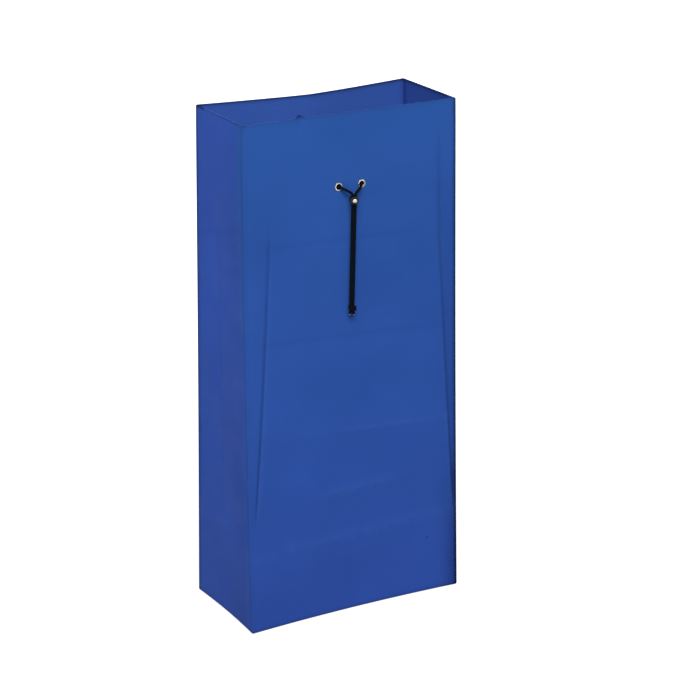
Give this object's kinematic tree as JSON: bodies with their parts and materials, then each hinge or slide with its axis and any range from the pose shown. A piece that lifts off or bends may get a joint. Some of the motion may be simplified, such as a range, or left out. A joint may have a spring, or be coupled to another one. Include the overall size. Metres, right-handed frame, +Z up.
{
  "type": "drawstring canvas sack",
  "caption": "Tall open sack of plastic-coated canvas on a flat base, with a drawstring in its deep hem, eyelets in front, a spring cord lock and a knotted end.",
  "frame": {"origin": "on the floor, under the middle of the flat base", "axes": "+Z up towards the mouth, +X along the wide side, the front with the drawstring faces -Y"},
  "size_m": [0.41, 0.2104, 0.88],
  "materials": {
    "coated_canvas": "plastic-coated canvas, satin",
    "nickel": "nickel plated",
    "cord": "braided cord, matt",
    "lock_plastic": "moulded, satin",
    "spring_steel": "drawn wire"
  },
  "bodies": {
    "sack": {"sack_body": "coated_canvas", "eyelet_left": "nickel", "eyelet_right": "nickel", "washer_left": "nickel", "washer_right": "nickel", "drawstring_loop": "cord", "drawstring_end_left": "cord", "drawstring_end_right": "cord", "drawstring_knot": "cord"},
    "cord_lock": {"lock_barrel": "lock_plastic", "lock_collar": "lock_plastic", "lock_spring": "spring_steel"},
    "plunger": {"lock_plunger": "nickel"}
  },
  "joints": [
    {"name": "lock_slide", "type": "slide", "parent": "sack", "child": "cord_lock", "axis": [-0.0314, -0.0144, -0.9994], "range_m": [0, 0.17]},
    {"name": "button_press", "type": "slide", "parent": "cord_lock", "child": "plunger", "axis": [0.3419, 0.9394, -0.0243], "range_m": [0, 0.0016], "stiffness_N_per_m": 800, "springref_m": -0.002, "deforming": ["lock_spring"]}
  ]
}
